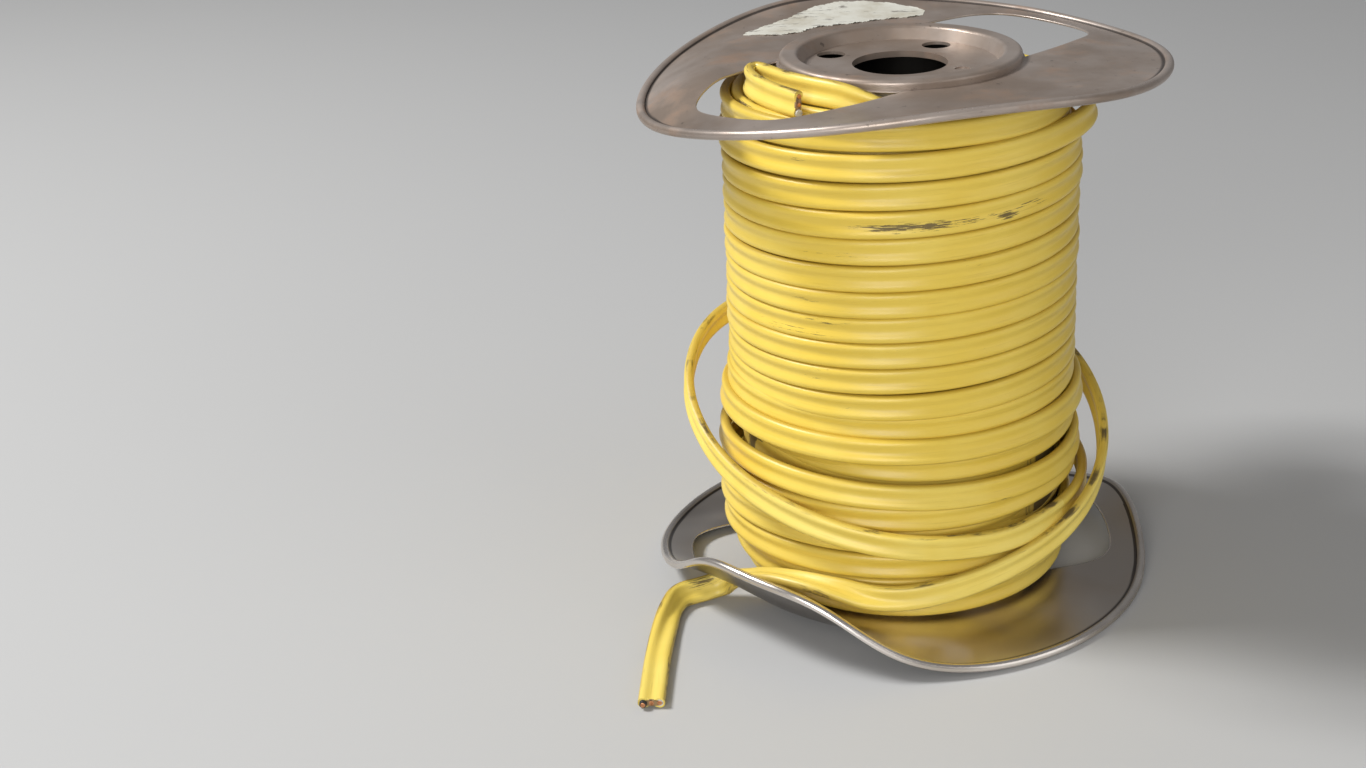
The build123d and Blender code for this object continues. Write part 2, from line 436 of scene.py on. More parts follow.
@dataclass(frozen=True)
class JacketFinish:
    """Yellow cable jacket: soft sheen, smudges and painted shade at its edges, scuffs, dark rubbed
    streaks.

    Shares say how far a layer covers what lies under it. edge_shade_from and grime_from are the
    distances from the cable's middle line where the painted shade of the grooves along its edges,
    and the dark smudges along them, start and where they are full. On the core, the scuff mark
    also paints the shade of the gaps between the outer turns.
    """

    name: str
    yellow: Colour = rgb(0.74, 0.53, 0.072)
    pale: Colour = rgb(0.80, 0.625, 0.135)
    # Darker tone for streaks along the cable, and for the painted shade in the grooves along its edges.
    deep: Colour = rgb(0.40, 0.245, 0.018)
    # Dark colour for specks, scuffs and smudged edges, and for the painted shade of the core's gaps.
    grime_and_gap_shade: Colour = rgb(0.090, 0.062, 0.024)
    pale_share: float = 0.55
    streak_share: float = 0.35
    speck_share: float = 0.6
    # How far the dark colour covers specks and scuffs, and paints the shade of the core's gaps.
    grime_and_shade_share: float = 0.9
    # How dark the painted shade is in the grooves along the round edges, where turns meet.
    edge_shade: float = 0.62
    edge_grime: float = 0.0
    edge_shade_from: tuple[float, float] = (4.15, 5.15)
    grime_from: tuple[float, float] = (3.6, 5.1)
    roughness: float = 0.30
    grain_mm: float = 0.10

    def material(self) -> Material:
        """Builds it from the point's place, and its marks across and along the cable.

        Returns:
            The material.
        """
        s = Shader(self.name)
        across, along, scuff = s.mark(Mark.ACROSS), s.mark(Mark.ALONG), s.mark(Mark.SCUFF)

        def drawn_out(run: float, width: float, shift: float, *look: float) -> Wire:
            """Noise on the marks along and across, each times a number, so that it streaks."""
            return s.noise(s.joined(along * run, across * width, shift), *look)

        cloud = s.noise(s.place(), 26.0, 3.0)
        streak = drawn_out(0.012, 0.45, 0.0, 3.0, 6.0, 0.65)
        fleck = drawn_out(0.05, 0.9, 3.7, 2.4, 5.0, 0.7)
        smear = drawn_out(0.03, 0.35, 9.1, 2.4, 5.0, 0.65)
        grain = drawn_out(0.25, 1.4, 0.0, 3.0, 3.0)
        colour = s.mix(cloud.step(0.35, 0.75) * self.pale_share, self.yellow, self.pale)
        colour = s.mix(streak.step(0.52, 0.78) * self.streak_share, colour, self.deep)
        # Painted shade in the grooves along the cable's round edges, streaked a little.
        edge = abs(across).step(*self.edge_shade_from) * self.edge_shade
        colour = s.mix((edge * (streak * 0.8 + 0.5)).clamped(), colour, self.deep)
        soil = abs(across).step(*self.grime_from) * smear.step(0.50, 0.66) * self.edge_grime
        colour = s.mix(soil, colour, self.grime_and_gap_shade)
        specks = fleck.step(0.72, 0.77) * self.speck_share
        # rubbed paints scuffs, and on the core the shade of the gaps between the outer turns.
        rubbed = (fleck + scuff * 0.27).step(0.70, 0.77) * (scuff * 5.0).clamped()
        colour = s.mix((specks + rubbed).clamped() * self.grime_and_shade_share, colour, self.grime_and_gap_shade)
        rough = self.roughness + cloud * 0.12 + rubbed * 0.25 + edge * 0.15
        return s.finish(
            Base_Color=colour,
            Roughness=rough.clamped(),
            Normal=s.bump(grain, self.grain_mm, 0.5),
            Coat_Roughness=0.2,
            Specular_IOR_Level=0.5,
        )


@dataclass(frozen=True)
class SteelFinish:
    """Bare sheet steel gone brown with age: clouded patina, rust specks, rubbed bright edges, painted
    shade.

    Shares say how far a layer covers what lies under it. back_darkening is how far the dark colour
    covers what is behind the front edge, from back_darkening_from on, in metres along Y.
    """

    name: str
    bright: Colour = rgb(0.47, 0.405, 0.36)
    patina: Colour = rgb(0.31, 0.24, 0.19)
    rust: Colour = rgb(0.26, 0.150, 0.090)
    # Dark colour for stains and specks, for the darker back, and for painted shade in creases and under
    # the sheet.
    soot_and_shade: Colour = rgb(0.040, 0.032, 0.028)
    metal: float = 0.55
    roughness: float = 0.32
    brownness: float = 1.0
    specks: float = 0.55
    rust_share: float = 0.55
    stain_share: float = 0.40
    rubbed_share: float = 0.55
    # How far painted shade covers the seam and the sheet's lower face, where the wear mark is below
    # nought.
    painted_shade_share: float = 0.85
    grain_mm: float = 0.05
    dent_mm: float = 1.6
    blotch_detail: float = 6.0
    blotch_depth: float = 1.0
    cloud_detail: float = 5.0
    # How far the dark colour covers what lies behind the front edge.
    back_darkening: float = 0.0
    back_darkening_from: tuple[float, float] = (-0.085, -0.035)

    def material(self) -> Material:
        """Builds it from the point's place and its wear mark, above nought rubbed, below it painted
        shade.

        Returns:
            The material.
        """
        s = Shader(self.name)
        place, wear = s.place(), s.mark(Mark.WEAR)
        cloud = s.noise(place, 16.0, self.cloud_detail, 0.6)
        blotch = s.noise(place, 42.0, self.blotch_detail, 0.65)
        speck = s.noise(place, 310.0, 3.0, 0.6)
        stain = s.noise(place, 9.0, 3.0)
        brushed = s.noise(s.scaled(place, (1.0, 0.22, 1.0)), 190.0, 4.0, 0.6)
        dents = s.bump(s.noise(place, 11.0, 2.0), self.dent_mm, 0.6)
        rusty = self.rust_share * self.brownness * self.blotch_depth
        colour = s.mix(cloud.step(0.32, 0.66) * self.brownness, self.bright, self.patina)
        colour = s.mix(blotch.step(0.50, 0.72) * rusty, colour, self.rust)
        colour = s.mix(stain.step(0.60, 0.72) * self.stain_share, colour, self.soot_and_shade)
        colour = s.mix(speck.step(0.66, 0.74) * self.specks, colour, self.soot_and_shade)
        # The sheet is darker behind its front edge.
        behind = s.node("ShaderNodeSeparateXYZ", {}, {0: place}, "Y").step(*self.back_darkening_from)
        colour = s.mix(behind * self.back_darkening, colour, self.soot_and_shade)
        worn = (wear * (0.45 + brushed)).step(0.35, 0.85)
        colour = s.mix(worn * self.rubbed_share, colour, self.bright)
        # Painted shade where the wear mark is below nought: the seam inside the bead and the lower face.
        colour = s.mix((wear * -1.0).step(0.15, 0.80) * self.painted_shade_share, colour, self.soot_and_shade)
        rough = self.roughness + blotch.step(0.45, 0.75) * (0.20 * self.blotch_depth)
        rough = rough + brushed * (2.0 * self.grain_mm) - worn * 0.10
        metal = self.metal - blotch.step(0.50, 0.75) * (0.30 * self.blotch_depth)
        return s.finish(
            Base_Color=colour,
            Roughness=rough.clamped(),
            Metallic=metal.clamped(),
            Normal=s.bump(brushed * 0.6 + speck * 0.4, self.grain_mm, 0.7, dents),
        )


@dataclass(frozen=True)
class TinFinish:
    """Bright tinplate with a faint crystal bloom, and painted shade inside a radius, in metres, down its
    bore.
    """

    name: str
    bright: Colour = rgb(0.66, 0.65, 0.63)
    dull: Colour = rgb(0.42, 0.41, 0.40)
    # Painted shade down the bore.
    inside: Colour = rgb(0.05, 0.045, 0.04)
    bore_shade_radius: float = 0.0417
    edge: float = 0.0001

    def material(self) -> Material:
        """Builds it from the point's place.

        Returns:
            The material.
        """
        s = Shader(self.name)
        place = s.place()
        bloom = s.noise(place, 60.0, 4.0)
        scratch = s.noise(s.scaled(place, (1.0, 1.0, 0.06)), 320.0, 4.0, 0.6)
        flat = s.scaled(place, (1.0, 1.0, 0.0))
        from_axis = s.node("ShaderNodeVectorMath", {"operation": "LENGTH"}, {0: flat}, "Value")
        # Inside the radius, down the bore, the colour is painted shade.
        outside = from_axis.step(self.bore_shade_radius - self.edge, self.bore_shade_radius + self.edge)
        return s.finish(
            Base_Color=s.mix(outside, self.inside, s.mix(bloom, self.bright, self.dull)),
            Roughness=0.28 + scratch * 0.2,
            Metallic=0.95,
            Normal=s.bump(scratch, 0.04, 0.5),
        )


@dataclass(frozen=True)
class PaperFinish:
    """Old cream label paper, scuffed through to the steel in places and bare of any print."""

    name: str
    cream: Colour = rgb(0.62, 0.61, 0.54)
    stained: Colour = rgb(0.44, 0.40, 0.31)
    darkening: Colour = rgb(0.13, 0.11, 0.095)
    dirt_share: float = 0.8

    def material(self) -> Material:
        """Builds it from the point's place.

        Returns:
            The material.
        """
        s = Shader(self.name)
        place = s.place()
        cloud = s.noise(place, 45.0, 5.0, 0.65)
        rub = s.noise(s.scaled(place, (0.5, 1.2, 1.0)), 170.0, 5.0, 0.7)
        colour = s.mix(cloud.step(0.40, 0.75), self.cream, self.stained)
        colour = s.mix(rub.step(0.56, 0.66) * self.dirt_share, colour, self.darkening)
        return s.finish(Base_Color=colour, Roughness=0.82, Normal=s.bump(rub, 0.12, 0.6))


@dataclass(frozen=True)
class PlainFinish:
    """A small part's finish: one colour, clouded towards a second."""

    name: str
    light: Colour
    dark: Colour
    roughness: float = 0.4
    metal: float = 0.0

    def material(self) -> Material:
        """Builds it from the point's place.

        Returns:
            The material.
        """
        s = Shader(self.name)
        cloud = s.noise(s.place(), 900.0, 3.0)
        return s.finish(
            Base_Color=s.mix(cloud.step(0.4, 0.7), self.light, self.dark),
            Roughness=self.roughness + cloud * 0.2,
            Metallic=self.metal,
        )


@dataclass(frozen=True)
class FloorFinish:
    """A plain pale floor with a faint grain."""

    name: str
    tone: Colour = rgb(0.49, 0.49, 0.485)
    grain: Colour = rgb(0.45, 0.45, 0.45)
    grain_share: float = 0.15

    def material(self) -> Material:
        """Builds it from the point's place.

        Returns:
            The material.
        """
        s = Shader(self.name)
        share = s.noise(s.place(), 6.0, 4.0) * self.grain_share
        return s.finish(Base_Color=s.mix(share, self.tone, self.grain), Roughness=0.7)


FILL_FINISHES = {
    Fill.PAPER: PlainFinish(Fill.PAPER.value, rgb(0.30, 0.19, 0.09), rgb(0.10, 0.06, 0.03), 0.8),
    Fill.COPPER: PlainFinish(Fill.COPPER.value, rgb(0.72, 0.34, 0.17), rgb(0.40, 0.15, 0.06), 0.3, 0.95),
    Fill.DARK_CORE: PlainFinish(Fill.DARK_CORE.value, rgb(0.016, 0.015, 0.015), rgb(0.04, 0.04, 0.04)),
    Fill.WHITE_CORE: PlainFinish(Fill.WHITE_CORE.value, rgb(0.62, 0.60, 0.54), rgb(0.42, 0.39, 0.33)),
}


# ---------------------------------------------------------------- the cable


@dataclass(frozen=True)
class FlatCable:
    """The cable's section: a full-height ridge over each insulated core, a valley between."""

    width: float = 10.4
    thickness: float = 4.1
    valley: float = 0.95
    face_points: int = 15
    edge_points: int = 5

    def half_thickness(self, across: Array) -> Array:
        """Half the thickness at a distance from the middle.

        Between the two core centres it is the full half less a valley that follows the squared
        cosine of the distance; past them it is a round edge, the root of the radius squared less
        the distance past the core squared.

        Args:
            across: Distances from the middle, of either sign.

        Returns:
            The half thickness at each.
        """
        radius = self.thickness / 2
        core = self.width / 2 - radius
        past = np.maximum(np.abs(across) - core, 0.0)
        dip = np.cos(0.5 * math.pi * np.minimum(np.abs(across) / core, 1.0)) ** 2
        return np.sqrt(np.maximum(radius**2 - past**2, 0.0)) - self.valley * dip

    def outline(self) -> Array:
        """The section's closed outline: a round edge, the upper face, the other edge and back.

        Returns:
            Rows of distances across and out.
        """
        radius = self.thickness / 2
        core = self.width / 2 - radius
        turn = np.linspace(0.0, math.pi / 2, self.edge_points + 1)[:-1]
        edge = core + radius * np.cos(turn)
        across = np.concatenate([edge, np.linspace(core, -core, self.face_points), -edge[::-1]])
        out = self.half_thickness(across)
        upper = np.stack([across, out], axis=-1)
        return np.concatenate([upper, upper[-2:0:-1] * (1.0, -1.0)])

    def strap(
        self, path: Array, across: Array, out: Array, along: Array, scuff: Array | float = 0.0
    ) -> Surface:
        """The cable along a path: each path point plus the outline in its two directions.

        Args:
            path: The line of the cable's middle.
            across: The unit vector across the cable at each point of the path.
            out: The unit vector out of its flat side there.
            along: The mark along the cable there.
            scuff: How rubbed it is, for each point of the path and of the outline.

        Returns:
            The surface, closed at both ends, with the marks that the jacket's finish reads.
        """
        outline = self.outline()
        points = path[:, None] + outline[:, :1] * across[:, None] + outline[:, 1:] * out[:, None]
        marks = {Mark.ACROSS: outline[:, 0], Mark.ALONG: along[:, None], Mark.SCUFF: scuff}
        spread = {mark: np.broadcast_to(values, points.shape[:2]) for mark, values in marks.items()}
        return Surface.grid(points, caps=True, marks=spread)


@dataclass(frozen=True)
class Filling:
    """One piece that shows in a cut end.

    Each bar is its place across the cable, its two half sizes and how far it stands out.
    """

    name: str
    fill: Fill
    bars: tuple[Quad, ...]


@dataclass
class CutEnd:
    """A cable's end, with its directions: forward along it, across it and out of its face.

    A bar in it starts a depth inside the cable. sizes and setbacks are its shares of its full size
    from there on, and how far each ring of it but the first lies behind its front.
    """

    place: Array
    forward: Array
    across: Array
    out: Array
    depth: float = 0.5
    sizes: tuple[float, ...] = (1.0, 1.0, 0.96, 0.86, 0.4)
    setbacks: tuple[float, ...] = (0.12, 0.04, 0.0, 0.0)
    columns: int = 24

    def bar(self, x: float, half_x: float, half_y: float, front: float) -> Surface:
        """A short bar along the cable, an ellipse in section and rounded in front.

        Args:
            x: Its place across the cable.
            half_x: Half its size across the cable.
            half_y: Half its size out of the cable's face.
            front: How far it stands out of the cut.

        Returns:
            The closed surface.
        """
        angles = ring(self.columns)[:, None]
        section = np.cos(angles) * half_x * self.across + np.sin(angles) * half_y * self.out
        sizes = np.array(self.sizes)[:, None, None]
        steps = np.array([-self.depth, *(front - setback for setback in self.setbacks)])[:, None, None]
        centre = self.place + x * self.across
        return Surface.grid(centre + steps * self.forward + sizes * section, caps=True)

    def fill(self, fillings: Sequence[Filling], fills: dict[Fill, Material]) -> list[Object]:
        """The pieces that show in the cut, each of its bars joined, in the finish of its filling."""
        bars = [Surface.joined([self.bar(*bar) for bar in filling.bars]) for filling in fillings]
        return [made.piece(f.name, fills[f.fill], Slot.JACKET) for f, made in zip(fillings, bars)]


@dataclass(frozen=True)
class Scuff:
    """One rubbed place: its angle and height on the reel, and how far it reaches each way."""

    angle_deg: float
    height: float
    reach_deg: float
    reach: float
    strength: float

    def at(self, points: Array) -> Array:
        """How rubbed it leaves each point: a bell in angle times a bell in height."""
        wide = degrees_apart(np.arctan2(points[:, 1], points[:, 0]), self.angle_deg) / self.reach_deg
        return self.strength * np.exp(-(wide**2) - ((points[:, 2] - self.height) / self.reach) ** 2)


SCUFFS = (
    Scuff(258.0, 169.6, 9.0, 1.7, 1.3), Scuff(270.0, 170.2, 10.0, 1.7, 1.35),
    Scuff(283.0, 170.6, 7.0, 1.3, 1.1), Scuff(296.5, 170.6, 5.0, 1.7, 1.4),
    Scuff(307.0, 172.4, 8.0, 1.3, 0.9), Scuff(243.0, 158.0, 14.0, 1.4, 0.5),
    Scuff(284.0, 154.0, 8.0, 1.4, 0.45), Scuff(232.0, 139.0, 8.0, 1.2, 0.8),
    Scuff(240.0, 131.5, 10.0, 1.6, 0.8), Scuff(228.0, 126.0, 18.0, 1.8, 0.6),
    Scuff(262.0, 122.0, 8.0, 1.3, 0.5), Scuff(240.0, 112.0, 10.0, 1.2, 0.65),
    Scuff(236.0, 107.5, 6.0, 1.0, 0.7), Scuff(248.0, 97.0, 9.0, 1.2, 0.5),
    Scuff(296.0, 56.0, 8.0, 1.4, 0.7), Scuff(232.0, 193.0, 10.0, 1.6, 0.55),
    Scuff(283.0, 165.0, 16.0, 1.5, 0.45), Scuff(100.0, 150.0, 18.0, 2.0, 0.7),
    Scuff(60.0, 90.0, 16.0, 2.0, 0.7), Scuff(20.0, 130.0, 12.0, 1.8, 0.6),
    Scuff(150.0, 60.0, 16.0, 2.0, 0.7),
)


@dataclass(frozen=True)
class Slack:
    """A slack place of the outer layer: where on the strip and how wide, in turns, how far out and up."""

    turn: float
    width: float
    out: float
    up: float = 0.0


@dataclass
class Winding:
    """The wound cable: a core that shows each layer's edges, the outer layer and its last turn.

    turns gives each outer turn at the front, and one more beyond each end: how high its middle is,
    how far it stands out, how far its lower edge leans out, in degrees, and how far it drops at
    180 degrees and rises at nought. last_places are angles, in degrees, radii and heights.
    drawn_below and drawn_beyond are where the core's edge starts to be drawn in and over what
    length. grime_and_gap_shade pairs each place of its side that gets the painted shade of the gaps
    between the outer turns with the height that it ends at.
    """

    flat: FlatCable = field(default_factory=FlatCable)
    bore: float = 42.3
    outer: float = 69.4
    layers: int = 5
    layer_pitch: float = 4.53
    bottom: float = 5.5
    top: float = 206.9
    turns: tuple[Quad, ...] = (
        (10.4, 0.0, 0.0, 0.0), (10.9, 0.0, 0.0, 0.0), (21.2, 0.2, 2.0, 0.0), (31.4, 0.9, 4.0, -0.5),
        (41.8, 0.2, 2.0, -1.5), (51.4, 0.4, 3.0, -3.0), (61.0, 1.8, 7.0, -3.0), (71.2, -2.6, 0.0, -2.5),
        (80.8, 1.9, 9.0, -1.0), (90.0, -0.6, -2.0, 0.0), (98.9, 0.3, 2.0, 0.8), (109.5, 0.0, 1.0, 1.2),
        (119.9, 0.3, -1.0, 1.4), (129.9, -0.1, 1.5, 1.5), (139.9, 0.2, 0.0, 1.5),
        (150.1, 0.1, -1.0, 1.5), (160.6, -0.1, 1.0, 1.4), (171.0, 0.4, 2.0, 1.2),
        (181.2, 0.1, -1.5, 1.0), (192.3, 0.9, 3.0, 0.6), (202.6, -0.2, -2.0, 0.0),
        (203.4, 0.0, 0.0, 0.0),
    )
    slacks: tuple[Slack, ...] = (
        Slack(-0.08, 0.27, -6.0), Slack(1.77, 0.10, 3.4), Slack(2.77, 0.12, 5.0, -0.5),
        Slack(3.15, 0.11, -4.6), Slack(3.78, 0.11, 5.0), Slack(4.17, 0.10, 1.2, 3.4),
        Slack(4.79, 0.12, 3.6, 3.0), Slack(5.25, 0.14, 2.6), Slack(5.78, 0.14, -3.8),
        Slack(6.26, 0.13, 3.2), Slack(6.77, 0.13, 3.2, 1.0), Slack(7.26, 0.13, 1.9),
        Slack(7.77, 0.12, 1.0, 1.2), Slack(8.26, 0.13, 1.2), Slack(18.23, 0.075, 4.6, 0.5),
    )
    steps_per_turn: int = 104
    starts_before: float = 0.42
    stops_short: float = 0.80
    tuck: float = 4.2
    tuck_turns: float = 0.12
    height_wave: float = 0.22
    radius_wave: float = 0.20
    below_bottom: float = 0.6
    above_top: float = 1.6
    core_rows: int = 19
    core_columns: int = 160
    bulge_points: int = 8
    row_power: float = 0.5
    end_power: float = 0.6
    inner_points: int = 12
    inner_inset: float = 2.0
    row_depth: float = 0.9
    end_rise: float = 0.7
    top_wave: float = 0.7
    top_reach: float = 4.0
    sag: Swell = Swell(35.0, 60.0, 2.4)
    drawn_in: Swell = Swell(250.0, 90.0, 6.0)
    drawn_below: tuple[float, float] = (17.0, -3.0)
    drawn_beyond: tuple[float, float] = (58.0, 6.0)
    layer_turn: float = 1.9
    # The core's across mark at its layers' edges and on its walls, which the jacket paints as groove
    # shade.
    groove_shade_across: float = 4.6
    # Places of the core's side where the gaps between the outer turns get painted shade.
    grime_and_gap_shade: tuple[tuple[Swell, float], ...] = (
        (Swell(198.0, 8.0, 1.2), math.inf),
        (Swell(328.0, 20.0, 1.4), 78.0),
    )
    last_places: tuple[Triple, ...] = (
        (24.0, 67.6, 47.8), (8.0, 71.8, 46.6), (-8.0, 74.0, 44.4), (-24.0, 74.7, 43.0),
        (-40.0, 74.6, 42.4), (-56.0, 74.8, 41.4),
    )
    last_points: int = 70
    last_radius: float = 75.0
    last_run: float = 647.6

    def outer_layer(self) -> Surface:
        """One strip wound bottom to top.

        Its angle runs on at an even rate. Its height is a smooth curve through the turns' heights
        at the front, plus a tilt that follows the cosine of the angle, plus a slow wave. Its
        radius is the layer's, plus the turn's offset and a slow wave, less a tuck at both ends.
        Each slack place adds a bell.

        Returns:
            The closed surface, with its scuffs marked.
        """
        count = len(self.turns) - 2
        first, last = -self.starts_before, count - self.stops_short
        turns = np.linspace(first, last, int((last - first) * self.steps_per_turn))
        angles = TURN * (turns + FRONT_TURN)
        table = smooth_between(turns, np.arange(-1, count + 1), np.array(self.turns))
        height, offset, roll, tilt = table.T
        height = height + tilt * np.cos(angles)
        height += self.height_wave * np.sin(2.0 * angles + 1.7 * turns) * np.sin(0.9 * turns)
        middle = self.outer - self.flat.thickness / 2
        radius = middle + offset + self.radius_wave * np.sin(3.0 * angles + 2.1 * turns)
        for slack in self.slacks:
            share = bell(turns - slack.turn, slack.width)
            radius += slack.out * share
            height += slack.up * share
        free = ramp(np.minimum(turns - first, turns[-1] - turns), 0.0, self.tuck_turns)
        radius -= self.tuck * (1.0 - free) ** 2
        half = self.flat.width / 2
        height = np.clip(height, self.bottom + half - self.below_bottom, self.top - half + self.above_top)
        across, out = leant(-np.radians(roll), UP, around(angles))
        strip = self.flat.strap(placed(angles, radius, height), across, out, angles * middle)
        strip.marks[Mark.SCUFF] = np.max([scuff.at(strip.points) for scuff in SCUFFS], axis=0)
        return strip

    def core_profile(self) -> Array:
        """The core's section: round turn edges at both ends, and rounded rows up its side.

        Each edge and each row is a power of a sine from nought to a half turn.

        Returns:
            Rows of radius and height, round the closed section.
        """
        steps = np.linspace(0.0, 1.0, self.bulge_points + 1)[:-1]
        bulge = np.sin(math.pi * steps)
        radii = (self.bore + self.layer_pitch * (np.arange(self.layers)[:, None] + steps)).ravel()
        ends = np.tile(self.flat.thickness / 2 * (bulge**self.end_power - 1.0), self.layers)
        side = self.bore + self.layers * self.layer_pitch
        wall = side - self.row_depth + self.row_depth * np.tile(bulge**self.row_power, self.core_rows)
        rows = (np.arange(self.core_rows)[:, None] + steps).ravel()
        heights = self.bottom + (self.top - self.bottom) / self.core_rows * rows
        low = np.stack([radii, self.bottom - self.end_rise - ends], axis=-1)
        high = np.stack([radii, self.top + self.end_rise + ends], axis=-1)[::-1]
        ends_at = (self.top - self.inner_inset, self.bottom + self.inner_inset)
        inner = np.linspace((self.bore, ends_at[0]), (self.bore, ends_at[1]), self.inner_points)
        return np.concatenate([low, np.stack([wall, heights], axis=-1), high, inner])

    def core(self) -> Surface:
        """The core's section turned about the axis.

        Its top waves with the sine of the angle, another way for each layer, and sags on one side.
        Its outer bottom edge is drawn in in front.

        Returns:
            The closed surface, with painted shade marked where the outer turns stand apart.
        """
        radii, heights = self.core_profile().T
        angles = ring(self.core_columns)[:, None]
        layer = np.floor((radii - self.bore) / self.layer_pitch)
        near_top = ramp(heights, self.top - self.top_reach, self.top_reach)
        rise = self.top_wave * (np.sin(angles + self.layer_turn * layer) - 1.0) - self.sag.at(angles)
        low_edge = ramp(heights, *self.drawn_below) * ramp(radii, *self.drawn_beyond)
        points = placed(angles, radii - self.drawn_in.at(angles) * low_edge, heights + near_top * rise)
        # Near this mark's full size, at the layers' edges and evenly on the walls, the jacket paints
        # shade.
        between = self.groove_shade_across * np.cos(0.5 * (radii - self.bore) * TURN / self.layer_pitch)
        # Painted shade on the core's side where the outer turns stand apart, up to a height.
        darkening = sum(swell.at(angles) * (heights < top) for swell, top in self.grime_and_gap_shade)
        marks = {
            Mark.ACROSS: np.broadcast_to(between, points.shape[:2]),
            Mark.ALONG: angles * radii,
            Mark.SCUFF: darkening * (radii > self.bore + self.layers * self.layer_pitch - 1.0),
        }
        return Surface.grid(points, wrap_rows=True, marks=marks)

    def last_turn(self) -> Surface:
        """The end of the last turn, which comes out between two others where the loose cable starts.

        Its radius and height are smooth curves through a few places along its angle. The last
        place only gives it its slope.

        Returns:
            The closed surface.
        """
        places = np.array(self.last_places)
        at = np.linspace(0.0, len(places) - 2.0, self.last_points)
        degrees, radii, heights = smooth_between(at, np.arange(len(places)), places).T
        angles = np.radians(degrees)
        path = placed(angles, radii, heights)
        forward = heading(path)
        out = square_to(around(angles), forward)
        run = self.last_run - angles * self.last_radius
        return self.flat.strap(path, np.cross(out, forward), out, run)

    def build(self, jacket: Material) -> None:
        """Makes the outer layer, the last turn and the core in place of the plain winding."""
        made = {"outer_layer": self.outer_layer(), "last_turn": self.last_turn(), "core": self.core()}
        for name, surface in made.items():
            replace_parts(surface.piece(f"winding_{name}", jacket, Slot.JACKET), "cable_winding")


@dataclass
class CableStart:
    """The cable's inner end: up out of a window beside the hub, folded over and back to its cut.

    leans_deg gives how far the strap leans over at each point of the route.
    """

    flat: FlatCable = field(default_factory=FlatCable)
    route: tuple[Triple, ...] = (
        (-6.5, -51.0, 204.5), (-16.5, -48.6, 209.0), (-26.5, -43.8, 212.2), (-36.0, -36.0, 212.8),
        (-43.6, -26.8, 212.6), (-48.8, -16.0, 212.0), (-52.2, -7.6, 211.6), (-55.6, -4.4, 211.6),
        (-58.2, -8.0, 211.5), (-57.6, -17.0, 211.3), (-53.6, -28.0, 211.0), (-48.0, -38.5, 210.9),
        (-42.4, -46.6, 210.8),
    )
    leans_deg: tuple[float, ...] = (0.0, 0.0, 4.0, 6.0, 6.0, 4.0, 2.0, 0.0, -4.0, -8.0, -8.0, -6.0, -4.0)
    fillings: tuple[Filling, ...] = (
        Filling("cable_start_paper", Fill.PAPER, ((0.0, 4.0, 1.4, 0.2),)),
        Filling("cable_start_core", Fill.WHITE_CORE, ((-3.1, 1.45, 1.45, 0.9),)),
        Filling("cable_start_wires", Fill.COPPER, ((0.0, 0.8, 0.8, 0.6), (3.1, 0.8, 0.8, 0.6))),
    )
    steps: int = 170
    fold_run: float = 78.0
    fold_reach: float = 9.0
    fold_scuff: float = 0.75

    def build(self, jacket: Material, fills: dict[Fill, Material]) -> None:
        """Makes the strap, and the torn paper, white core and bare wire in its cut end.

        The line is a smooth curve through the route. The strap stands on its edge: its width is
        upright, leant over by the leans about the line, and its thickness is across the line.

        Args:
            jacket: The cable's finish.
            fills: The finishes in its cut end.
        """
        knots = np.arange(len(self.route))
        at = np.linspace(0.0, knots[-1], self.steps)
        path = smooth_between(at, knots, np.array(self.route))
        forward = heading(path)
        upright = square_to(UP, forward)
        lean = np.radians(smooth_between(at, knots, np.array(self.leans_deg)))
        across, out = leant(lean, upright, np.cross(forward, upright))
        run = run_along(path)
        rubbed = self.fold_scuff * bell(run - self.fold_run, self.fold_reach)[:, None]
        strap = self.flat.strap(path, across, out, run, rubbed)
        cable = strap.piece("cable_start_strap", jacket, Slot.JACKET)
        end = CutEnd(path[-1], forward[-1], across[-1], out[-1])
        for piece in (cable, *end.fill(self.fillings, fills)):
            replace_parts(piece, "cable_start")


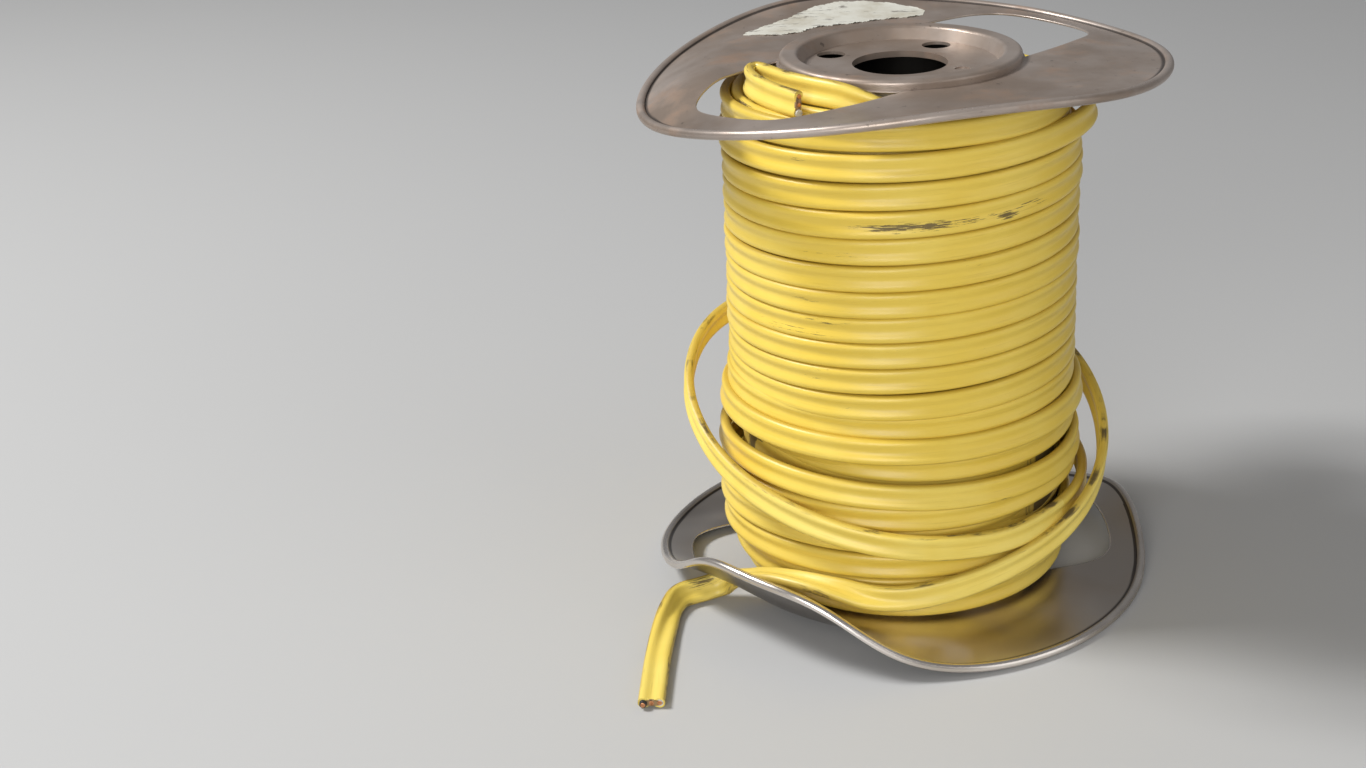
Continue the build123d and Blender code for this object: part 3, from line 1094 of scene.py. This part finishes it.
@dataclass
class LooseCable:
    """The free stretch: once more round the reel, out under the bent rim and to its cut end.

    The route's points are metres, and facings are the ways that its flat side faces at each.
    """

    flat: FlatCable = field(default_factory=FlatCable)
    length: float = 0.776
    route: tuple[Triple, ...] = (
        (0.05715, -0.04795, 0.0424), (0.0507, -0.0556, 0.0419), (0.0309, -0.0694, 0.0402),
        (-0.0040, -0.0757, 0.0420), (-0.0348, -0.0683, 0.0472), (-0.0610, -0.0512, 0.0548),
        (-0.0797, -0.0274, 0.0652), (-0.0885, 0.0031, 0.0796), (-0.0805, 0.0325, 0.0932),
        (-0.0582, 0.0582, 0.0976), (-0.0247, 0.0761, 0.0950), (0.0152, 0.0780, 0.0895),
        (0.0505, 0.0623, 0.0850), (0.0742, 0.0362, 0.0780), (0.0841, 0.0044, 0.0640),
        (0.0787, -0.0287, 0.0480), (0.0578, -0.0559, 0.0354), (0.0239, -0.0734, 0.0262),
        (-0.0131, -0.0745, 0.0186), (-0.0400, -0.0639, 0.0234), (-0.0611, -0.0478, 0.0204),
        (-0.0700, -0.0362, 0.0116), (-0.0770, -0.0310, 0.0070), (-0.0850, -0.0328, 0.0055),
        (-0.0940, -0.0358, 0.0053), (-0.0978, -0.0440, 0.0050), (-0.1006, -0.0560, 0.0031),
        (-0.1035, -0.0760, 0.0025), (-0.1052, -0.0950, 0.0025), (-0.1064, -0.1105, 0.0025),
    )
    facings: tuple[Triple, ...] = (
        (0.77, -0.64, 0.0), (0.67, -0.74, 0.0), (0.41, -0.91, 0.0), (-0.05, -1.0, 0.05),
        (-0.45, -0.89, 0.08), (-0.77, -0.64, 0.05), (-0.95, -0.31, 0.0), (-0.99, 0.08, 0.10),
        (-0.92, 0.38, 0.15), (-0.71, 0.70, 0.10), (-0.31, 0.95, 0.0), (0.19, 0.98, 0.0),
        (0.63, 0.78, 0.0), (0.90, 0.44, 0.0), (1.0, 0.05, -0.05), (0.94, -0.34, -0.10),
        (0.72, -0.69, -0.05), (0.31, -0.95, 0.0), (-0.17, -0.95, 0.22), (-0.16, -0.16, 0.97),
        (-0.12, 0.22, 0.97), (0.0, -0.35, 0.94), (0.05, -0.85, 0.50), (0.10, -0.88, 0.45),
        (0.45, -0.66, 0.58), (0.72, -0.20, 0.62), (0.40, 0.0, 0.92), (0.0, 0.0, 1.0), (0.0, 0.0, 1.0),
        (0.0, 0.0, 1.0),
    )
    fillings: tuple[Filling, ...] = (
        Filling("cut_paper", Fill.PAPER, ((0.0, 4.3, 1.35, 0.2),)),
        Filling("cut_dark_core", Fill.DARK_CORE, ((-3.1, 1.42, 1.42, 1.4),)),
        Filling("cut_white_core", Fill.WHITE_CORE, ((3.1, 1.42, 1.42, 0.10),)),
        Filling(
            "cut_wires",
            Fill.COPPER,
            ((-3.1, 0.95, 0.95, 1.8), (3.1, 0.95, 0.95, 0.25), (0.0, 0.95, 0.95, 0.35)),
        ),
    )
    steps_per_span: int = 20
    start_run: float = 700.0
    scuff: float = 1.1
    scuff_run: float = 688.0
    scuff_reach: float = 9.0
    scuff_across: float = -3.0
    scuff_width: float = 2.6

    def line(self) -> Array:
        """The route's own NURBS line, in metres, read off a curve that has no bevel.

        Returns:
            Its points.
        """
        curve = bpy.data.curves.new("loose_cable_line", "CURVE")
        curve.dimensions = "3D"
        curve.resolution_u = self.steps_per_span
        spline = curve.splines.new("NURBS")
        spline.points.add(len(self.route) - 1)
        for point, place in zip(spline.points, self.route):
            point.co = (*place, 1.0)
        spline.order_u = 3
        spline.use_endpoint_u = True
        holder = bpy.data.objects.new("loose_cable_line", curve)
        mesh = bpy.data.meshes.new_from_object(holder)
        points = np.zeros(len(mesh.vertices) * 3)
        mesh.vertices.foreach_get("co", points)
        bpy.data.objects.remove(holder)
        bpy.data.curves.remove(curve)
        bpy.data.meshes.remove(mesh)
        return points.reshape(-1, 3)

    def facing(self, count: int) -> Array:
        """The way that the flat side faces along the line: a smooth curve through the facings.

        A point of the route pulls hardest half a span before its number, and the first and last
        at the line's ends.

        Args:
            count: How many points the line has.

        Returns:
            One vector for each, not yet square to the line.
        """
        last = len(self.route) - 1
        knots = np.concatenate([[0.0], np.arange(1, last) - 0.5, [last - 1.0]])
        return smooth_between(np.linspace(0.0, last - 1.0, count), knots, np.array(self.facings))

    def build(self, jacket: Material, fills: dict[Fill, Material]) -> None:
        """Makes the cable as a flat strap along the line, and the conductors in its cut end.

        At each point of the line, out is the facing less its share along the line, and across is
        the cross product of out and the line's direction.

        Args:
            jacket: The cable's finish.
            fills: The finishes in its cut end.
        """
        line = self.line()
        path = line / METRES_PER_MM
        forward = heading(path)
        out = square_to(self.facing(len(path)), forward)
        across = np.cross(out, forward)
        run = run_along(path)
        rubbed = self.scuff * bell(run - self.scuff_run, self.scuff_reach)[:, None]
        rubbed = rubbed * bell(self.flat.outline()[:, 0] - self.scuff_across, self.scuff_width)
        strap = self.flat.strap(path, across, out, run + self.start_run, rubbed)
        cable = strap.piece("loose_cable_strap", jacket, Slot.JACKET)
        pieces = CutEnd(path[-1], forward[-1], across[-1], out[-1]).fill(self.fillings, fills)
        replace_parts(cable, "loose_cable")


# ---------------------------------------------------------------- the reel


@dataclass
class StampedFlange:
    """A stamped disc: two windows, a hub hole, a rolled rim, and the rim bent up and down.

    The bends are lifts of the rim, and drop takes the whole rim down. even_share is the part of
    the bend that grows evenly outwards. underside_shade is how much painted shade the sheet's lower
    face gets. Wear and the seam's painted shade are the width of a bell and its strength; the bead's
    lies bead_out beyond its middle circle, and the seam's seam_in inside the join and as deep on the
    upper side.
    """

    name: str
    node: str
    sheet_bottom: float
    window_deg: float
    bends: tuple[Swell, ...]
    drop: float = 0.0
    # How much painted shade the sheet's lower face gets.
    underside_shade: float = 0.0
    sheet: float = 0.9
    bore: float = 41.5
    collar: float = 47.2
    under_lip: float = 44.0
    window_half_width: float = 34.0
    window_outer: float = 88.0
    corner_power: float = 5.5
    chamfer: float = 0.22
    bend_start: float = 69.0
    even_share: float = 0.6
    bead_path: float = 99.8
    bead_radius: float = 1.8
    columns: int = 960
    sheet_points: int = 30
    bead_points: int = 18
    window_wear: tuple[float, float] = (0.9, 0.8)
    bead_wear: tuple[float, float] = (1.5, 0.9)
    bead_out: float = 0.4
    # Painted shade in the crease where the sheet runs into the bead: a bell's width and strength.
    seam_shade: tuple[float, float] = (0.6, 1.6)
    seam_in: float = 0.3
    hub_columns: int = 360
    crease_deg: float = 62.0

    @property
    def join(self) -> float:
        """The radius where the flat sheet runs into the bead."""
        return self.bead_path - math.sqrt(self.bead_radius**2 - (self.sheet / 2) ** 2)

    @property
    def sheet_top(self) -> float:
        """The height of the flat sheet's upper face."""
        return self.sheet_bottom + self.sheet

    def lift(self, radii: Array, angles: Array) -> Array:
        """How far the sheet is bent up at each point.

        It is the rim's lift, the sum of its bends, times the square of t. t runs from nought where
        the bend starts to one at the rim: the share of the way out is the even share of t plus the
        rest of t squared.

        Args:
            radii: The points' radii.
            angles: Their angles.

        Returns:
            The lift at each.
        """
        rim = np.sum([bend.at(angles) for bend in self.bends], axis=0) - self.drop
        share = np.clip((radii - self.bend_start) / (self.join - self.bend_start), 0.0, None)
        even, rest = self.even_share, 1.0 - self.even_share
        t = (-even + np.sqrt(even**2 + 4.0 * rest * share)) / (2.0 * rest)
        return rim * t**2

    def inner_edge(self, angles: Array) -> Array:
        """Where the web starts at each angle: at the windows' outlines, else under the hub's lip.

        A window reaches to its straight side, its half width over the sine of the angle from its
        middle line, or to its outer arc. The two are blended by a power so that they meet in a
        round corner.

        Args:
            angles: Angles in radians.

        Returns:
            The radius at each.
        """
        turned = np.abs(np.sin(angles - math.radians(self.window_deg)))
        side = self.window_half_width / np.maximum(turned, 1e-6)
        power = -self.corner_power
        edge = (side**power + self.window_outer**power) ** (1.0 / power)
        return np.maximum(edge, self.under_lip)

    def web(self) -> Surface:
        """The web, its windows' edges and its rolled rim, as one closed section round the axis.

        The section goes out along the sheet's upper face, round the bead, back along the lower
        face and up the chamfered edge of the window.

        Returns:
            The closed surface, rubbed at the windows and the bead, and painted shade in the seam and
            on the lower face.
        """
        angles = ring(self.columns)[:, None]
        start = self.inner_edge(angles)
        shares = np.linspace(0.0, 1.0, self.sheet_points)
        radii = start + self.chamfer + (self.join - start - self.chamfer) * shares
        rise = self.lift(radii, angles)
        top, bottom = self.sheet_top + rise, self.sheet_bottom + rise
        reach = math.pi - math.asin(self.sheet / 2 / self.bead_radius)
        roll = np.linspace(reach, -reach, self.bead_points + 2)[1:-1]
        bead_radii = self.bead_path + self.bead_radius * np.cos(roll)
        bead_radii = np.broadcast_to(bead_radii, (self.columns, self.bead_points))
        bead_heights = self.sheet_bottom + self.sheet / 2 + rise[:, -1:] + self.bead_radius * np.sin(roll)
        lip_heights = [bottom[:, :1] + self.chamfer, top[:, :1] - self.chamfer]
        all_radii = np.concatenate([radii, bead_radii, radii[:, ::-1], start, start], axis=1)
        heights = np.concatenate([top, bead_heights, bottom[:, ::-1], *lip_heights], axis=1)

        def worn(radius: Array | float, width: float, strength: float) -> Array:
            """A bell round a radius, for rubbing and for the seam's painted shade."""
            return strength * bell(all_radii - radius, width)

        window = worn(start, *self.window_wear) * (start > self.collar)
        bead = worn(self.bead_path + self.bead_out, *self.bead_wear)
        # The crease inside the bead gets painted shade, kept below nought on the wear mark.
        seam = worn(self.join - self.seam_in, *self.seam_shade) * (heights > top[:, -1:] - self.seam_in)
        wear = np.maximum(window, bead) - seam
        underside = self.sheet_points + self.bead_points
        # The sheet's lower face gets painted shade.
        wear[:, underside : underside + self.sheet_points] = -self.underside_shade
        return Surface.grid(placed(angles, all_radii, heights), wrap_rows=True, marks={Mark.WEAR: wear})

    def hub_ring(self) -> Surface:
        """The ring of sheet round the hub hole, a hair thinner than the web that it lies in.

        Returns:
            The closed surface, a section turned about the axis.
        """
        hair, edge = 0.02, 0.2
        top, bottom = self.sheet_top - hair, self.sheet_bottom + hair
        section = (
            (self.bore, bottom),
            (self.bore, top),
            (self.collar - edge, top),
            (self.collar, top - edge),
            (self.collar, bottom + edge),
            (self.collar - edge, bottom),
        )
        points = placed(ring(self.hub_columns)[:, None], *np.array(section).T)
        return Surface.grid(points, wrap_rows=True, marks={Mark.WEAR: np.zeros(points.shape[:2])})

    def build(self, steel: Material) -> None:
        """Makes the flange in place of its plain node."""
        surface = Surface.joined([self.web(), self.hub_ring()])
        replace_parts(surface.piece(self.name, steel, Slot.STEEL, self.crease_deg), self.node)


@dataclass
class PaperLabel:
    """What is left of a bare paper label on the top flange: torn inside, worn round the edges.

    Its outline is angles in degrees, each with the radius of its inner and of its outer edge.
    """

    flange: StampedFlange
    outline: tuple[Triple, ...] = (
        (75.5, 72.6, 80.6), (79.0, 69.6, 85.0), (86.0, 67.3, 90.6), (93.6, 65.0, 92.4),
        (100.0, 63.2, 92.0), (108.0, 63.4, 88.4), (116.0, 64.2, 83.0), (124.0, 61.4, 80.6),
        (130.0, 63.6, 79.6), (134.0, 66.6, 79.4), (137.0, 75.2, 78.4),
    )
    tears: tuple[Triple, ...] = ((0.45, 3.1, 0.0), (0.3, 7.7, 1.0), (0.2, 17.3, 0.0))
    outer_tear: float = 0.5
    paper: float = 0.14
    gap: float = 0.02
    curl: float = 0.35
    curl_reach: float = 0.05
    rows: int = 220
    columns: int = 26
    crease_deg: float = 30.0

    def build(self, paper: Material) -> None:
        """Makes the label as a thin closed sheet lying along the flange.

        Its edges are smooth curves through the outline, torn by a sum of sines of the angle, and
        curl up a little by a bell of the share from each. Each tear is a size, a rate and a shift.

        Args:
            paper: Its finish.
        """
        outline = np.array(self.outline)
        degrees = np.linspace(outline[0, 0], outline[-1, 0], self.rows)
        tear = sum(size * np.sin(rate * degrees + shift) for size, rate, shift in self.tears)
        inside, outside = smooth_between(degrees, outline[:, 0], outline[:, 1:]).T
        inside, outside = (inside + tear)[:, None], (outside + self.outer_tear * tear[::-1])[:, None]
        shares = np.linspace(0.0, 1.0, self.columns)
        radii = inside + (outside - inside) * shares
        angles = np.radians(degrees)[:, None]
        curl = self.curl * bell(np.minimum(shares, 1.0 - shares), self.curl_reach)
        curl = curl * (0.5 + 0.5 * np.sin(0.9 * degrees))[:, None]
        bed = self.flange.sheet_top + self.flange.lift(radii, angles)
        low = placed(angles, radii, bed + self.gap + curl)
        points = np.concatenate([low, (low + self.paper * UP)[:, ::-1]], axis=1)
        Surface.grid(points, caps=True).piece("bare_paper_label", paper, Slot.STEEL, self.crease_deg)


TOP_FLANGE = StampedFlange(
    name="top_flange_stamping",
    node="top_flange",
    sheet_bottom=213.1,
    window_deg=39.0,
    bends=(
        Swell(184.0, 46.0, -13.5), Swell(282.0, 34.0, 6.5), Swell(108.0, 25.0, 4.5),
        Swell(25.0, 30.0, -3.0),
    ),
)
BOTTOM_FLANGE = StampedFlange(
    name="bottom_flange_stamping",
    node="bottom_flange",
    sheet_bottom=3.6,
    window_deg=4.5,
    bends=(
        Swell(228.0, 29.0, 29.0), Swell(185.0, 22.0, 5.0), Swell(12.0, 19.0, 12.5),
        Swell(247.0, 13.0, 5.5), Swell(213.0, 12.0, 5.2),
    ),
    drop=2.1,
    # Painted shade on its lower face.
    underside_shade=0.62,
)


# ---------------------------------------------------------------- the studio


@dataclass(frozen=True)
class Lamp:
    """A square soft light: its place and size in metres, and its watts."""

    name: str
    place: Triple
    size: float
    watts: float


@dataclass
class Studio:
    """The camera, the pale floor and the soft lights, in metres."""

    camera_place: Triple = (-0.0888, -0.7149, 0.3951)
    pitch_deg: float = 23.57
    roll_deg: float = -2.82
    lens_mm: float = 50.257
    sensor_mm: float = 36.0
    floor_size: float = 8.0
    middle: Triple = (0.0, 0.0, 0.1)
    lamps: tuple[Lamp, ...] = (
        Lamp("key", (-1.50, 0.19, 1.84), 0.55, 51.0),
        Lamp("front", (-0.50, -1.50, 0.60), 0.80, 14.0),
        Lamp("fill", (1.20, -0.90, 0.60), 1.20, 4.2),
    )
    sky: Colour = rgb(0.20, 0.20, 0.205)

    @staticmethod
    def stand(name: str, data: Any, right: Array, back: Array, place: Triple) -> Object:
        """Puts a camera or a light in the scene.

        Args:
            name: The object's name.
            data: The camera's or light's data.
            right: The unit vector to its right.
            back: The unit vector opposite to where it looks.
            place: Where it stands.

        Returns:
            The object.
        """
        matrix = np.eye(4)
        matrix[:3] = np.stack([right, np.cross(back, right), back, place], axis=1)
        made = bpy.data.objects.new(name, data)
        made.matrix_world = Matrix(matrix.tolist())
        bpy.context.scene.collection.objects.link(made)
        return made

    def camera(self) -> None:
        """Sets the camera: level right turned up by the pitch, then rolled about its line of sight."""
        pitch, roll = math.radians(self.pitch_deg), math.radians(self.roll_deg)
        back = np.array([0.0, -math.cos(pitch), math.sin(pitch)])
        above = np.array([0.0, math.sin(pitch), math.cos(pitch)])
        right = np.array([math.cos(roll), 0.0, 0.0]) + math.sin(roll) * above
        data = bpy.data.cameras.new("camera")
        data.sensor_width, data.lens = self.sensor_mm, self.lens_mm
        data.clip_start = 0.01
        bpy.context.scene.camera = self.stand("camera", data, right, back, self.camera_place)

    def light(self) -> None:
        """Sets the lamps, each aimed at the reel's middle, and the world's even light."""
        for lamp in self.lamps:
            data = bpy.data.lights.new(lamp.name, "AREA")
            data.size, data.energy = lamp.size, lamp.watts
            back = unit(np.array(lamp.place) - np.array(self.middle))
            self.stand(lamp.name, data, unit(np.cross(UP, back)), back, lamp.place)
        world = bpy.data.worlds.new("studio")
        world.use_nodes = True
        background = world.node_tree.nodes["Background"]
        background.inputs["Color"].default_value = self.sky
        background.inputs["Strength"].default_value = 1.0
        bpy.context.scene.world = world

    def floor(self) -> None:
        """Lays the floor, which belongs to the stage."""
        half = self.floor_size / 2
        corners = [(-half, -half, 0), (half, -half, 0), (half, half, 0), (-half, half, 0)]
        mesh = bpy.data.meshes.new("floor")
        mesh.from_pydata(corners, [], [(0, 1, 2, 3)])
        floor = bpy.data.objects.new("floor", mesh)
        mesh.materials.append(FloorFinish("floor").material())
        bpy.context.scene.collection.objects.link(floor)

    def build(self) -> None:
        """Makes everything round the reel."""
        bpy.context.scene.view_settings.view_transform = "Standard"
        self.camera()
        self.floor()
        self.light()


WORN_JACKET = JacketFinish(
    "worn_yellow_jacket",
    yellow=rgb(0.80, 0.60, 0.105),
    pale=rgb(0.88, 0.73, 0.20),
    edge_grime=0.95,
)
SHINY_STEEL = SteelFinish(
    "shiny_steel",
    bright=rgb(0.90, 0.84, 0.78),
    patina=rgb(0.50, 0.44, 0.375),
    metal=0.98,
    roughness=0.29,
    brownness=0.80,
    specks=0.03,
    grain_mm=0.002,
    blotch_detail=1.0,
    blotch_depth=0.30,
    cloud_detail=1.5,
    # The sheet is darker behind its front edge.
    back_darkening=0.22,
)


def dress(node: Object, material: Material) -> None:
    """Gives a node of the frame a better finish, in each of its slots.

    Args:
        node: The node's object.
        material: The finish.
    """
    if not node.material_slots:
        node.data.materials.append(material)
    for holder in node.material_slots:
        holder.material = material


def main() -> None:
    """Loads the frame, builds the studio and the pieces, and dresses the frame's nodes."""
    logging.basicConfig(level=logging.INFO, format="%(message)s")
    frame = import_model()
    Studio().build()
    jacket, worn_jacket = JacketFinish("yellow_jacket").material(), WORN_JACKET.material()
    fills = {fill: finish.material() for fill, finish in FILL_FINISHES.items()}
    LooseCable().build(worn_jacket, fills)
    Winding().build(jacket)
    CableStart().build(worn_jacket, fills)
    steel, shiny_steel = SteelFinish("aged_steel").material(), SHINY_STEEL.material()
    TOP_FLANGE.build(steel)
    BOTTOM_FLANGE.build(shiny_steel)
    PaperLabel(TOP_FLANGE).build(PaperFinish("bare_paper").material())
    tin = TinFinish("tinplate").material()
    dressed = {"top_hub_cap": steel, "bottom_hub_cap": shiny_steel, "barrel": tin}
    for name, material in dressed.items():
        dress(frame["nodes"][name], material)
        LOG.info("%s: dressed in %s", name, material.name)


if __name__ == "__main__":
    main()
